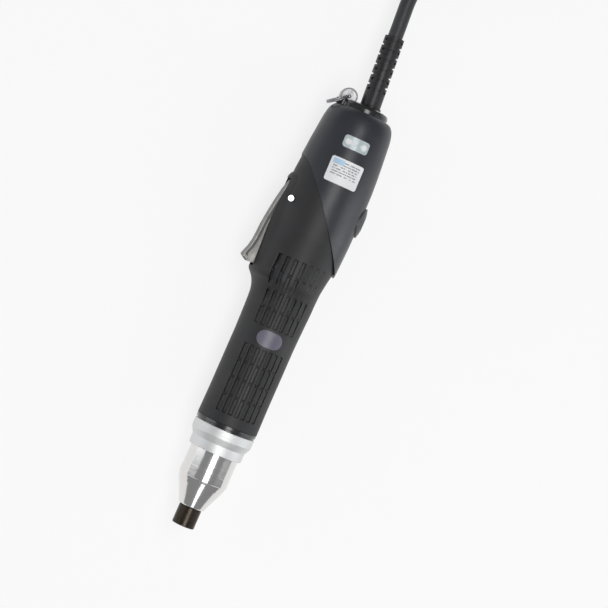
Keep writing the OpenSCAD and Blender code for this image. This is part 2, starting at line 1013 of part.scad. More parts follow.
// ---- cord: it lies on the table behind the tool, in the frame of the tool laid down ----
cord_r = cord_d / 2;
tie_t = 0.8;
turn_pitch = cord_d + 0.15;
fold_r = 25.5; // of the innermost turn, at the cord's middle
hank_near = -219;
hank_far = -311;
hank_columns = 2;
hank_layers = 3;
hank_in = fold_r - turn_pitch / 2;
hank_out = hank_in + hank_columns * turn_pitch;
hank_h = hank_layers * turn_pitch;
cord_seat = 6; // how deep the cord goes into the strain relief
relief_dir = [-sin(relief_lean), 0, cos(relief_lean)];
LEAD_ROUTE = [
    laid(relief_tip - cord_seat * relief_dir), laid(relief_tip), [-154, 1.7, 23],
    [-162, 1.2, 22.8], [-170, 0.9, 22.5], [-177, 1.6, 22.4], [-184, 3.6, 22.4]
];
TAIL_ROUTE = [
    [-304, -25.2, 22.4], [-297, -23.6, 22.1], [-290, -20.6, 21.1], [-283, -16.6, 19.5],
    [-276, -12.2, 17.2], [-269, -7.9, 14.6], [-262, -4.2, 12], [-255, -1.6, 9.9],
    [-249, -0.3, 8.8], [-246, 0, 8.6]
];
CORD_SIDES = 10;

function unit(v) = v / norm(v);
// The direction of a route at its point i
function heading(route, i) =
    unit(route[min(len(route) - 1, i + 1)] - route[max(0, i - 1)]);
// A ring of the cord round point i of a route
function cord_ring(route, i, r) =
    let (
        d = heading(route, i),
        side = unit(cross(d, [0, 0, 1])),
        up = cross(side, d)
    )
    [for (k = [0:CORD_SIDES - 1]) let (a = 360 * k / CORD_SIDES)
        route[i] + r * (cos(a) * side + sin(a) * up)];

module cord_tube(route) {
    ring_loft([for (i = [0:len(route) - 1]) cord_ring(route, i, cord_r)]);
}

module cord_lead() {
    color("#2b2b2e")
        cord_tube(LEAD_ROUTE);
}

module cord_tail() {
    color("#2b2b2e")
        cord_tube(TAIL_ROUTE);
}

// The outline of a loop of the hank with round ends of radius r
module racetrack(r) {
    for (x = [hank_near, hank_far])
        translate([x, 0])
            circle(r);
    translate([hank_far, -r])
        square([hank_near - hank_far, 2 * r]);
}

module cord_coil() {
    color("#2b2b2e")
        translate([0, 0, tie_t])
            linear_extrude(hank_h)
                difference() {
                    racetrack(hank_out);
                    racetrack(hank_in);
                }
}

// A band right round the middle of the hank
tie_w = 14;
module coil_tie() {
    color("#1a1a1c")
        translate([(hank_near + hank_far - tie_w) / 2, 0, 0])
            difference() {
                translate([0, -hank_out - tie_t, 0])
                    cube([tie_w, 2 * hank_out + 2 * tie_t, hank_h + 2 * tie_t]);
                translate([-1, -hank_out, tie_t])
                    cube([tie_w + 2, 2 * hank_out, hank_h]);
            }
}

// Round plug on the end of the cord, inside the hank and pointing along +x
plug_at = [-246, 0, 8.6];
module plug_frame() {
    translate(plug_at)
        rotate([0, 90, 0])
            children();
}

module plug_body() {
    color("#9ea1a5")
        plug_frame()
            difference() {
                rotate_extrude()
                    polygon([
                        [0, 0], [5.6, 0], [6.6, 1], [6.9, 12], [7.4, 13], [7.4, 26], [6.2, 26.4],
                        [6.2, 40], [0, 40]
                    ]);
                rod(5.3, 30, 41);
            }
}

module plug_ring() {
    color("#c2c4c7")
        plug_frame()
            rotate_extrude()
                difference() {
                    polygon([
                        [6.2 + fit, 27], [8.3, 27], [8.5, 27.4], [8.5, 39.4], [8.3, 40],
                        [6.2 + fit, 40]
                    ]);
                    for (k = [0:5])
                        translate([8.3, 28.6 + 1.7 * k])
                            square([1, 0.7]);
                }
}

module plug_insert() {
    color("#2b2b2f")
        plug_frame()
            union() {
                rod(5.28, 30.05, 34);
                for (k = [0:5])
                    rotate([0, 0, 60 * k])
                        translate([3.2, 0, 0])
                            rod(0.5, 33, 39.2);
            }
}

lay_down() shell_label_side();
lay_down() shell_far_side();
lay_down() grip_cover();
lay_down() end_cap();
lay_down() eyelet();
lay_down() split_ring();
lay_down() strain_relief();
cord_lead();
cord_coil();
cord_tail();
coil_tie();
plug_body();
plug_ring();
plug_insert();
lay_down() lever();
lay_down() lever_pin();
lay_down() lever_spring();
lay_down() start_switch();
lay_down() switch_plunger();
lay_down() rocker();
lay_down() rocker_pin();
lay_down() reverse_switch();
lay_down() lens();
lay_down() leds();
lay_down() circuit_board();
lay_down() label_plate();
lay_down() grip_badge();
lay_down() shell_screws();
lay_down() motor_can();
lay_down() motor_magnets();
lay_down() armature();
lay_down() motor_bushes();
lay_down() motor_end_bell();
lay_down() motor_brushes();
lay_down() pinion();
lay_down() ring_gear();
lay_down() planet(0, 83.2, 91.9);  // first_planet_1
lay_down() planet(1, 83.2, 91.9);  // first_planet_2
lay_down() planet(2, 83.2, 91.9);  // first_planet_3
lay_down() first_carrier();
lay_down() planet(0, 69.6, 79.2);  // second_planet_1
lay_down() planet(1, 69.6, 79.2);  // second_planet_2
lay_down() planet(2, 69.6, 79.2);  // second_planet_3
lay_down() second_carrier();
lay_down() clutch_balls();
lay_down() clutch_cam();
lay_down() thrust_washer();
lay_down() clutch_spring();
lay_down() pressure_ring();
lay_down() spring_washer();
lay_down() torque_nut();
lay_down() nose_housing();
lay_down() nose_collar();
lay_down() trim_ring();
lay_down() spindle();
lay_down() spindle_bush();
lay_down() chuck_sleeve();
lay_down() chuck_spring();
lay_down() chuck_balls();
lay_down() sleeve_clip();
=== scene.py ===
"""Dresses a modelled electric torque screwdriver: finishes, smooth skins, cable, label and stage."""

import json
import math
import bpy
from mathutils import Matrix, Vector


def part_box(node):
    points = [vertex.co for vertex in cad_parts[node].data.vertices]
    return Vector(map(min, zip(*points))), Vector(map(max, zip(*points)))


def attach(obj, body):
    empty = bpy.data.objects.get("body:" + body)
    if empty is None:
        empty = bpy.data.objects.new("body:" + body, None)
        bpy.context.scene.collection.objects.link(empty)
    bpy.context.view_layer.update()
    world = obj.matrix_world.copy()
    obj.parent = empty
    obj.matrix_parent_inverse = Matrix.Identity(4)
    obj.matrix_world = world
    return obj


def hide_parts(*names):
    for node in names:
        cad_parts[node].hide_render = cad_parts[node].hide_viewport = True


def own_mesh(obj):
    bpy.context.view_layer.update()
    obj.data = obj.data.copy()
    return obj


bl_info = {
    "name": "Electric Torque Screwdriver",
    "version": (1, 0, 0),
    "blender": (4, 5, 0),
    "location": "3D View > Sidebar > Screwdriver",
    "description": "Gives the modelled screwdriver its finishes, cable, label, lamps and stage",
    "category": "Object",
}

import bmesh
import bpy
from mathutils import Matrix, Vector

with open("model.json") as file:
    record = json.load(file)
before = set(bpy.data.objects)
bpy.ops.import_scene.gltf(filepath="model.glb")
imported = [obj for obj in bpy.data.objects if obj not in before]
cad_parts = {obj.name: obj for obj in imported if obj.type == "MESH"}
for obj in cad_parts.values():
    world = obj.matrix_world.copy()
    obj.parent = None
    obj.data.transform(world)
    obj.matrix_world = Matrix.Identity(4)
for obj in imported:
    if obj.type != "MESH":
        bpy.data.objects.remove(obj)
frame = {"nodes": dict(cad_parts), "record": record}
NODES = frame["nodes"]
SLOT_OF = {part["node"]: part["material_slot"] for part in frame["record"]["subparts"]}
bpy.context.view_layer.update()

# The tool's own frame: millimetres, z up from the bit end, x towards the rocker, y away from the label
TIP_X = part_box("chuck_sleeve")[1].x
AXIS_Y, AXIS_Z = ((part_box("torque_nut")[0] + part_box("torque_nut")[1]) / 2).yz
LAY_DOWN = Matrix((
    (0, 0, -0.001, TIP_X),
    (0.001, 0, 0, AXIS_Y),
    (0, -0.001, 0, AXIS_Z),
    (0, 0, 0, 1),
))


def on_tool(x, y, z):
    """A point of the upright tool, where it is on the table."""
    return LAY_DOWN @ Vector((x, y, z))


FINISHES = {}


# ---------------------------------------------------------------- pieces
def smooth_by_angle(bm, degrees):
    """Shades a mesh smooth, apart from edges sharper than that."""
    limit = math.radians(degrees)
    for face in bm.faces:
        face.smooth = True
    for edge in bm.edges:
        edge.smooth = len(edge.link_faces) == 2 and edge.calc_face_angle(0) < limit


def make_piece(name, bm, body, slot, angle, replaces=()):
    """A new piece from a bmesh, riding on its body."""
    smooth_by_angle(bm, angle)
    mesh = bpy.data.meshes.new(name)
    bm.to_mesh(mesh)
    bm.free()
    piece = bpy.data.objects.new(name, mesh)
    bpy.context.scene.collection.objects.link(piece)
    mesh.materials.append(FINISHES[slot])
    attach(piece, body)
    if replaces:
        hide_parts(*replaces)
    return piece


GRIP_R = 17.5
# height, reach on the lever side, reach on the rocker side, both beyond the grip's radius, in millimetres
COVER_SKIN = (
    (58, 0.2, 0.2), (62, 0.2, 0.2), (78, 0, 0), (112, 0, 0), (124, 0.3, 0.3), (132, 0.6, 0.6),
    (136, 1.0, 0.7), (140, 2.3, 0.7), (143, 4.1, 0.8), (145.5, 6.4, 0.85), (148, 7.0, 1.0),
    (151.5, 6.8, 1.5), (155, 6.3, 2.0), (160, 5.8, 2.9), (170, 5.2, 4.2), (180, 5.3, 4.8),
    (192, 5.5, 4.8), (206, 5.0, 4.8), (218, 4.0, 4.2), (230, 3.2, 3.2),
)
SHELL_SKIN = (
    (140, 3.0, 2.6), (150, 6.8, 3.2), (156, 6.7, 3.9), (160, 6.3, 4.4), (165, 5.8, 4.7),
    (171, 5.7, 4.95), (177, 5.7, 5.2), (184, 5.8, 5.3), (196, 5.9, 5.3), (206, 5.5, 5.25),
    (212, 5.1, 5.05), (221, 4.3, 4.5), (228, 3.7, 3.9), (235, 2.95, 3.3), (240, 2.4, 2.8),
    (243.5, 1.75, 2.1), (246, 0.9, 1.2), (247.6, -0.2, 0.1), (248.5, -1.2, -0.9),
    (248.8, -1.9, -1.6),
)


LEVER_SIDE, ROCKER_SIDE = 1, 2


def reach(table, z, side):
    """How far a skin stands out beyond the grip's radius at a height, on one side of the tool."""
    i = max(0, min(len(table) - 2, sum(row[0] <= z for row in table) - 1))

    def rise(k):
        a, b = table[max(0, k - 1)], table[min(len(table) - 1, k + 1)]
        return (b[side] - a[side]) / (b[0] - a[0])

    low, high = table[i], table[i + 1]
    h = high[0] - low[0]
    s = (z - low[0]) / h
    return ((2 * s**3 - 3 * s**2 + 1) * low[side] + (s**3 - 2 * s**2 + s) * h * rise(i)
            + (3 * s**2 - 2 * s**3) * high[side] + (s**3 - s**2) * h * rise(i + 1))


def skin_ring(table, z):
    """Centre and radius of a skin's ring at a height."""
    lever, rocker = reach(table, z, LEVER_SIDE), reach(table, z, ROCKER_SIDE)
    return (rocker - lever) / 2, GRIP_R + (lever + rocker) / 2


def skin_normal(table, place):
    """The way out from a skin at a point of the upright tool."""
    x, y, z = place
    step = 0.25
    z = max(table[0][0] + 0.3, min(table[-1][0] - 0.3, z))
    centre, _ = skin_ring(table, z)
    flat = Vector((x - centre, y, 0)).normalized()
    (c0, r0), (c1, r1) = skin_ring(table, z - step), skin_ring(table, z + step)
    lean = (r1 - r0 + (c1 - c0) * flat.x) / (2 * step)
    return Vector((flat.x, flat.y, -lean)).normalized()


def shade_as_skin(piece, table, within=24):
    """Gives the outer faces of a copied part the shading of the smooth skin that they lie on."""
    mesh = piece.data
    back = LAY_DOWN.inverted()
    turn = LAY_DOWN.to_3x3().normalized()
    limit = math.cos(math.radians(within))
    normals = [n.vector.copy() for n in mesh.corner_normals]
    for polygon in mesh.polygons:
        facing = polygon.normal
        for loop in polygon.loop_indices:
            place = back @ mesh.vertices[mesh.loops[loop].vertex_index].co
            way = (turn @ skin_normal(table, place)).normalized()
            if facing.dot(way) > limit:
                normals[loop] = way
    mesh.normals_split_custom_set(normals)


def merged_copy(node):
    """A bmesh copy of a modelled part with its loose triangles joined up."""
    bm = bmesh.new()
    bm.from_mesh(NODES[node].data)
    bmesh.ops.remove_doubles(bm, verts=bm.verts, dist=2e-6)
    return bm


def loft(bm, rings):
    """A closed skin through rings of points, given on the upright tool in millimetres."""
    loops = []
    for ring in rings:
        verts = [bm.verts.new(on_tool(*place)) for place in ring]
        loops.append([bm.edges.new((a, b)) for a, b in zip(verts, verts[1:] + verts[:1])])
    for low, high in zip(loops, loops[1:]):
        bmesh.ops.bridge_loops(bm, edges=low + high)
    for end in (loops[0], loops[-1]):
        bmesh.ops.contextual_create(bm, geom=end)
    bmesh.ops.recalc_face_normals(bm, faces=bm.faces)


# ---------------------------------------------------------------- finishes
class Finish:
    """One procedural material, built up node by node."""

    def __init__(self, name, colour, rough, metal=0.0):
        self.material = bpy.data.materials.new(name)
        self.material.use_nodes = True
        self.tree = self.material.node_tree
        self.shader = self.tree.nodes["Principled BSDF"]
        self.set(base_color=(*colour, 1), roughness=rough, metallic=metal)

    def set(self, **values):
        for name, value in values.items():
            label = " ".join(word.capitalize() for word in name.split("_")).replace("Ior", "IOR")
            self.shader.inputs[label].default_value = value

    def add(self, kind, inputs=(), **settings):
        node = self.tree.nodes.new(kind)
        for name, value in settings.items():
            setattr(node, name, value)
        for socket, value in dict(inputs).items():
            if isinstance(value, bpy.types.NodeSocket):
                self.tree.links.new(value, node.inputs[socket])
            else:
                node.inputs[socket].default_value = value
        return node

    def place(self, scale=(1, 1, 1), centre=(0, 0, 0)):
        """Object coordinates from a centre, scaled."""
        source = self.add("ShaderNodeTexCoord").outputs["Object"]
        location = [-c * s for c, s in zip(centre, scale)]
        return self.add("ShaderNodeMapping", {0: source, "Location": location, "Scale": scale}).outputs[0]

    def noise(self, scale, detail=3.0, stretch=(1, 1, 1)):
        settings = {"Vector": self.place(stretch), "Scale": scale, "Detail": detail}
        return self.add("ShaderNodeTexNoise", settings).outputs["Fac"]

    def ramp(self, factor, *stops):
        node = self.add("ShaderNodeValToRGB", {0: factor})
        elements = node.color_ramp.elements
        while len(elements) < len(stops):
            elements.new(0.5)
        for element, (position, value) in zip(elements, stops):
            element.position = position
            element.color = (value, value, value, 1) if isinstance(value, float) else (*value, 1)
        return node.outputs[0]

    def maths(self, operation, a, b=0.0):
        return self.add("ShaderNodeMath", {0: a, 1: b}, operation=operation).outputs[0]

    def every(self, first, *rest):
        """All of the factors multiplied together."""
        for factor in rest:
            first = self.maths("MULTIPLY", first, factor)
        return first

    def between(self, value, low, high):
        """1 where a value is between two bounds, 0 elsewhere."""
        return self.every(self.maths("GREATER_THAN", value, low), self.maths("LESS_THAN", value, high))

    def length(self, a, b):
        pair = self.add("ShaderNodeCombineXYZ", {0: a, 1: b}).outputs[0]
        return self.add("ShaderNodeVectorMath", {0: pair}, operation="LENGTH").outputs["Value"]

    def mix(self, factor, a, b):
        node = self.add("ShaderNodeMix", {"Factor": factor}, data_type="RGBA")
        for socket, value in ((6, a), (7, b)):
            if isinstance(value, bpy.types.NodeSocket):
                self.tree.links.new(value, node.inputs[socket])
            else:
                node.inputs[socket].default_value = (*value, 1)
        return node.outputs[2]

    def join(self, output, name):
        self.tree.links.new(output, self.shader.inputs[name])

    def bump(self, height, depth, strength=1.0):
        settings = {"Height": height, "Distance": depth, "Strength": strength}
        if self.shader.inputs["Normal"].is_linked:
            settings["Normal"] = self.shader.inputs["Normal"].links[0].from_socket
        self.join(self.add("ShaderNodeBump", settings).outputs[0], "Normal")


def moulded(name, colour, rough, grain, depth, spread=0.12, coat=0.0):
    """Moulded plastic or rubber with a sparked grain and faint patches of shine."""
    finish = Finish(name, colour, rough)
    finish.set(coat_weight=coat, coat_roughness=0.2)
    patches = finish.noise(38, 4)
    finish.join(finish.ramp(patches, (0.3, rough - spread / 2), (0.7, rough + spread / 2)), "Roughness")
    light = [min(1, c * 1.14 + 0.002) for c in colour]
    dark = [c * 0.86 for c in colour]
    finish.join(finish.mix(finish.noise(140, 5), dark, light), "Base Color")
    finish.bump(finish.noise(grain, 2), depth)
    return finish


def turned(name, colour, rough, lines=2600, depth=4e-6, spread=0.1):
    """Turned metal: fine rings round the tool's axis."""
    finish = Finish(name, colour, rough, 1.0)
    rings = finish.noise(lines, 3, (1, 0.004, 0.004))
    finish.join(finish.ramp(rings, (0.25, max(0.02, rough - spread)), (0.75, rough + spread)), "Roughness")
    shade = finish.mix(finish.noise(60, 4), [c * 0.93 for c in colour], colour)
    finish.join(shade, "Base Color")
    finish.bump(rings, depth)
    return finish


def drawn(name, colour, rough, spread=0.1):
    """Plain metal with a fine even brushing and faint handling marks."""
    finish = Finish(name, colour, rough, 1.0)
    marks = finish.noise(420, 5, (0.3, 1, 1))
    finish.join(finish.ramp(marks, (0.3, max(0.02, rough - spread)), (0.7, rough + spread)), "Roughness")
    finish.join(finish.mix(finish.noise(90, 3), [c * 0.9 for c in colour], colour), "Base Color")
    return finish


# millimetres from the label's middle; along is towards the bit end and across is towards the rocker
BAR_PITCH = 1.45
BAR_SHARE = (0.28, 0.72)
BARS_ALONG = (-6.0, 2.8)
BARS_ACROSS = 7.6
FIELD_ALONG = (-6.2, -3.4)
FIELD_ACROSS = (-8.4, -2.0)


def label_film(sizes):
    """White film with ruled bars in place of words."""
    finish = Finish("label_film", (0.86, 0.87, 0.89), 0.38)
    centre = on_tool(0, 0, sizes.label_height * 1000)
    split = finish.add("ShaderNodeSeparateXYZ", {0: finish.place((1000, 1000, 1000), centre)}).outputs
    along, across = split["X"], split["Y"]
    # ruled bars, each broken into runs of its own length
    rows = finish.maths("DIVIDE", along, BAR_PITCH)
    row, in_row = finish.maths("FLOOR", rows), finish.maths("FRACT", rows)
    stretched = finish.add("ShaderNodeCombineXYZ", {
        0: finish.maths("MULTIPLY", across, 0.9), 1: finish.maths("MULTIPLY", row, 7.3)}).outputs[0]
    runs = finish.add("ShaderNodeTexNoise", {"Vector": stretched, "Scale": 1.6, "Detail": 1.0}).outputs["Fac"]
    bar = finish.every(
        finish.between(in_row, *BAR_SHARE), finish.maths("GREATER_THAN", runs, 0.44),
        finish.between(along, *BARS_ALONG),
        finish.maths("LESS_THAN", finish.maths("ABSOLUTE", across), BARS_ACROSS))
    colour = finish.mix(finish.maths("MULTIPLY", bar, 0.85), (0.80, 0.81, 0.83), (0.16, 0.17, 0.19))
    # a pale tinted field in one corner
    field = finish.every(finish.between(along, *FIELD_ALONG), finish.between(across, *FIELD_ACROSS))
    finish.join(finish.mix(field, colour, (0.42, 0.62, 0.80)), "Base Color")
    return finish


# the grip's slots, in millimetres: middle height of the first row in each group of four, the rows'
# pitch, the angle between columns, half a slot's width and length, and how wide the painted shade along its
# edge is drawn
SLOT_GROUPS = (72.2, 124.6)
SLOT_PITCH = 10.15
SLOT_STEP = math.radians(12.4)
SLOT_HALF = (1.1, 4.65)
SLOT_EDGE = 1.2


def grip_rubber(sizes):
    """Soft moulded cover: painted shade darkens the colour along the slots' edges, and a bump rolls those
    edges over.
    """
    finish = moulded("grip_soft", sizes.grip_colour, 0.54, 3200, 4e-6)
    m = finish.maths
    source = finish.add("ShaderNodeTexCoord").outputs["Object"]
    place = finish.add("ShaderNodeVectorMath", {0: source, 1: (TIP_X, AXIS_Y, AXIS_Z)}, operation="SUBTRACT")
    split = finish.add("ShaderNodeSeparateXYZ", {0: place.outputs[0]}).outputs
    height = m("MULTIPLY", split["X"], -1000.0)
    from_axis = m("MULTIPLY", finish.length(split["Y"], split["Z"]), 1000.0)
    # both faces of the grip have the same columns
    angle = m("ARCTAN2", split["Y"], m("ABSOLUTE", split["Z"]))
    column = m("ROUND", m("DIVIDE", angle, SLOT_STEP))
    turned_by = m("SUBTRACT", angle, m("MULTIPLY", column, SLOT_STEP))
    aside = m("SUBTRACT", m("ABSOLUTE", m("MULTIPLY", m("SINE", turned_by), from_axis)), SLOT_HALF[0])
    within = m("LESS_THAN", m("ABSOLUTE", column), 3.5)
    lines = []
    for first in SLOT_GROUPS:
        local = m("SUBTRACT", height, first)
        row = m("ROUND", m("DIVIDE", local, SLOT_PITCH))
        from_middle = m("ABSOLUTE", m("SUBTRACT", local, m("MULTIPLY", row, SLOT_PITCH)))
        gap = m("ABSOLUTE", m("MAXIMUM", aside, m("SUBTRACT", from_middle, SLOT_HALF[1])))
        line = finish.ramp(m("DIVIDE", gap, SLOT_EDGE), (0.12, 1.0), (0.36, 0.0))
        lines.append(finish.every(line, finish.between(row, -0.5, 3.5), within))
    edges = m("MAXIMUM", *lines)
    colour = finish.shader.inputs["Base Color"].links[0].from_socket
    # painted shade: along the slots' edges the colour goes almost black, and the same mask drives the bump
    finish.join(finish.mix(m("MULTIPLY", edges, 0.7), colour, (0.0022, 0.0022, 0.0025)), "Base Color")
    finish.bump(m("MULTIPLY", edges, -1.0), 2.2e-4, 0.8)
    return finish


# heights and places in millimetres; LAMP_BLUR is how far the painted light round each lamp spreads
LENS_HEIGHT = 230.4
LAMP_ASIDE = 4.6
LAMP_BLUR = 4.0


def milky_lens():
    """Clouded window with painted light: a bright round in the colour over each of the two lamps behind it.
    """
    finish = Finish("lens_milky", (0.62, 0.70, 0.65), 0.22)
    finish.set(transmission_weight=0.15, ior=1.49, coat_weight=0.4)
    finish.join(finish.ramp(finish.noise(500, 3), (0.3, 0.16), (0.7, 0.30)), "Roughness")
    place = finish.place((1000, 1000, 1000), on_tool(0, 0, LENS_HEIGHT))
    split = finish.add("ShaderNodeSeparateXYZ", {0: place}).outputs
    aside = finish.maths("SUBTRACT", finish.maths("ABSOLUTE", split["Y"]), LAMP_ASIDE)
    from_lamp = finish.maths("DIVIDE", finish.length(split["X"], aside), LAMP_BLUR)
    # painted light: a near white round in the colour over each lamp, in place of the lamps shining through
    painted_lamp_light = finish.ramp(from_lamp, (0.28, 1.0), (0.55, 0.0))
    cloud = finish.mix(finish.noise(260, 4), (0.44, 0.53, 0.56), (0.66, 0.74, 0.76))
    finish.join(finish.mix(painted_lamp_light, cloud, (0.95, 0.96, 0.96)), "Base Color")
    return finish


def lamp_epoxy(sizes):
    finish = Finish("lamp_epoxy", (0.92, 0.93, 0.90), 0.12)
    finish.set(emission_color=(1.0, 0.98, 0.9, 1), emission_strength=sizes.lamp_glow)
    finish.join(finish.mix(finish.noise(300, 2), (0.86, 0.88, 0.84), (0.96, 0.97, 0.94)), "Base Color")
    return finish


def make_finishes(sizes):
    """Every finish, by the material slot that it belongs to."""
    finishes = {
        "shell_plastic": moulded("shell_slate", sizes.shell_colour, 0.40, 2600, 3.5e-6),
        "grip_rubber": grip_rubber(sizes),
        "black_plastic": moulded("gloss_black", (0.011, 0.011, 0.013), 0.20, 900, 1.5e-6, 0.08, 0.5),
        "relief_rubber": moulded("relief_black", (0.010, 0.010, 0.012), 0.42, 1500, 4e-6),
        "cord_jacket": moulded("cable_jacket", (0.030, 0.031, 0.035), 0.46, 1100, 6e-6),
        "rocker_plastic": moulded("rocker_satin", (0.030, 0.031, 0.036), 0.36, 2600, 3e-6),
        "badge_plastic": moulded("badge_violet", (0.125, 0.118, 0.160), 0.40, 2000, 3e-6),
        "red_plastic": moulded("plunger_red", (0.35, 0.03, 0.02), 0.35, 1500, 2e-6),
        "board_green": moulded("board_lacquer", (0.02, 0.14, 0.06), 0.30, 900, 3e-6),
        "magnet_grey": moulded("sintered_grey", (0.06, 0.06, 0.065), 0.60, 1800, 8e-6),
        "label_white": label_film(sizes),
        "lens_plastic": milky_lens(),
        "led_plastic": lamp_epoxy(sizes),
        "nut_chrome": turned("nut_chrome", (0.78, 0.77, 0.76), 0.15, 1800, 1.5e-6, 0.05),
        "collar_aluminium": turned("collar_satin", (0.76, 0.77, 0.77), 0.56, 2400, 6e-6, 0.08),
        "black_oxide": turned("black_oxide", (0.055, 0.045, 0.036), 0.34, 3000, 6e-6, 0.12),
        "polished_steel": drawn("polished_steel", (0.74, 0.74, 0.75), 0.16, 0.08),
        "satin_steel": drawn("satin_steel", (0.40, 0.40, 0.42), 0.46, 0.10),
        "spring_steel": drawn("spring_wire", (0.36, 0.36, 0.37), 0.32),
        "gear_steel": turned("machined_steel", (0.46, 0.46, 0.48), 0.30, 1500, 5e-6),
        "bronze": turned("bronze", (0.55, 0.38, 0.16), 0.32, 1500, 4e-6),
        "winding_copper": moulded("winding_enamel", (0.42, 0.16, 0.06), 0.35, 700, 3e-5),
    }
    return {slot: finish.material for slot, finish in finishes.items()}


# ---------------------------------------------------------------- sizes and colours
class ToolSizes(bpy.types.PropertyGroup):
    """Sizes and colours of the screwdriver's own pieces."""

    shell_colour: bpy.props.FloatVectorProperty(
        name="Shell", description="Colour of the hard housing", subtype="COLOR", size=3,
        default=(0.024, 0.026, 0.034))
    grip_colour: bpy.props.FloatVectorProperty(
        name="Grip", description="Colour of the soft grip cover", subtype="COLOR", size=3,
        default=(0.0125, 0.0125, 0.0140))
    lamp_glow: bpy.props.FloatProperty(
        name="Lamp glow", description="Brightness of the working lamps", default=0.5, min=0, max=5)
    label_height: bpy.props.FloatProperty(
        name="Label height", description="Middle of the label above the bit end", subtype="DISTANCE",
        default=0.2134)
    cord_diameter: bpy.props.FloatProperty(
        name="Cable diameter", description="Outer diameter of the cable", subtype="DISTANCE", default=0.0085)


class StageSizes(bpy.types.PropertyGroup):
    """Camera, light and floor."""

    floor_colour: bpy.props.FloatVectorProperty(
        name="Floor", description="Colour of the floor", subtype="COLOR", size=3, default=(0.86, 0.86, 0.86))
    camera_distance: bpy.props.FloatProperty(
        name="Camera distance", description="From the camera to the tool's axis", subtype="DISTANCE",
        default=1.2)
    lens: bpy.props.FloatProperty(
        name="Lens", description="Focal length of the camera, in millimetres", default=128.0)
    lean: bpy.props.FloatProperty(
        name="Lean", description="How far the tool leans in the picture", subtype="ANGLE",
        default=math.radians(23.68))
    roll: bpy.props.FloatProperty(
        name="Roll", description="How far the camera stands round towards the lever", subtype="ANGLE",
        default=math.radians(10.4))


# ---------------------------------------------------------------- stage
# what the camera looks at: height up the tool in millimetres, and metres off its axis
AIM_HEIGHT = 139.4
AIM_ASIDE = 0.0124
SENSOR = 36
FLOOR_SIZE = 3
FLOOR_DROP = 0.0002
# how much of the floor's brightness is its own, as the camera and glossy surfaces see it
FLOOR_GLOW = 0.80
SKY = (0.27, 0.273, 0.28, 1)
SKY_SEEN = (0.80, 0.80, 0.80, 1)
WARM, COOL = (1, 0.99, 0.97), (0.96, 0.98, 1)
# name, place, width and length, power, colour
LAMPS = (
    ("key", (0.05, 0.06, 1.0), (0.34, 1.0), 5.4, WARM),
    ("nose", (1.05, 0.06, 0.70), (0.26, 0.7), 1.4, WARM),
    ("lever_rim", (0.05, -0.95, 0.30), (0.9, 0.25), 1.6, COOL),
    ("rocker_rim", (0.0, 0.95, 0.30), (0.9, 0.25), 2.6, COOL),
)


def stand(obj, place, right, up, back):
    """Puts a camera or lamp at a place, facing away from back."""
    bpy.context.scene.collection.objects.link(obj)
    obj.matrix_world = Matrix.Translation(place) @ Matrix((right, up, back)).transposed().to_4x4()


def add_camera(stage):
    along = Vector((-1, 0, 0))
    back = Vector((0, -math.sin(stage.roll), math.cos(stage.roll)))
    side = along.cross(back)
    up = along * math.cos(stage.lean) - side * math.sin(stage.lean)
    target = on_tool(0, 0, AIM_HEIGHT) + side * AIM_ASIDE
    camera = bpy.data.objects.new("camera", bpy.data.cameras.new("camera"))
    camera.data.lens, camera.data.sensor_width = stage.lens, SENSOR
    camera.data.clip_start, camera.data.clip_end = 0.05, 20
    stand(camera, target + back * stage.camera_distance, up.cross(back), up, back)
    bpy.context.scene.camera = camera


def add_floor(stage):
    bm = bmesh.new()
    bmesh.ops.create_grid(bm, x_segments=1, y_segments=1, size=FLOOR_SIZE)
    mesh = bpy.data.meshes.new("floor")
    bm.to_mesh(mesh)
    bm.free()
    floor = bpy.data.objects.new("floor", mesh)
    bpy.context.scene.collection.objects.link(floor)
    floor.location.z = -FLOOR_DROP
    cloth = Finish("floor_white", stage.floor_colour, 0.85)
    darker = [c * 0.985 for c in stage.floor_colour]
    cloth.join(cloth.mix(cloth.noise(6, 4), darker, stage.floor_colour), "Base Color")
    seen = cloth.add("ShaderNodeLightPath").outputs
    glow = cloth.add("ShaderNodeEmission", {"Color": (1, 1, 1, 1), "Strength": 1.0}).outputs[0]
    looked_at = cloth.maths("MAXIMUM", seen["Is Camera Ray"], seen["Is Glossy Ray"])
    share = cloth.maths("MULTIPLY", looked_at, FLOOR_GLOW)
    blend = cloth.add("ShaderNodeMixShader", {0: share, 1: cloth.shader.outputs[0], 2: glow})
    cloth.tree.links.new(blend.outputs[0], cloth.tree.nodes["Material Output"].inputs[0])
    mesh.materials.append(cloth.material)


def add_sky():
    world = bpy.data.worlds.new("studio")
    bpy.context.scene.world = world
    world.use_nodes = True
    tree = world.node_tree
    path = tree.nodes.new("ShaderNodeLightPath")
    sky = tree.nodes.new("ShaderNodeMix")
    sky.data_type = "RGBA"
    sky.inputs[6].default_value = SKY
    sky.inputs[7].default_value = SKY_SEEN
    tree.links.new(path.outputs["Is Camera Ray"], sky.inputs[0])
    tree.links.new(sky.outputs[2], tree.nodes["Background"].inputs[0])


def add_lamps():
    target = Vector((0, 0, 0.02))
    for name, place, size, power, colour in LAMPS:
        data = bpy.data.lights.new(name, "AREA")
        data.shape, data.size, data.size_y = "RECTANGLE", *size
        data.energy, data.color = power, colour
        place = Vector(place)
        back = (place - target).normalized()
        right = Vector((1, 0, 0)).cross(back).normalized()
        stand(bpy.data.objects.new(name, data), place, right, back.cross(right), back)


class SCREWDRIVER_OT_stage(bpy.types.Operator):
    """Adds the camera, the pale floor and the soft lights"""

    bl_idname = "screwdriver.stage"
    bl_label = "Camera, Floor and Lights"

    def execute(self, context):
        stage = context.scene.screwdriver_stage
        add_camera(stage)
        add_floor(stage)
        add_sky()
        add_lamps()
        context.scene.view_settings.view_transform = "Standard"
        return {"FINISHED"}


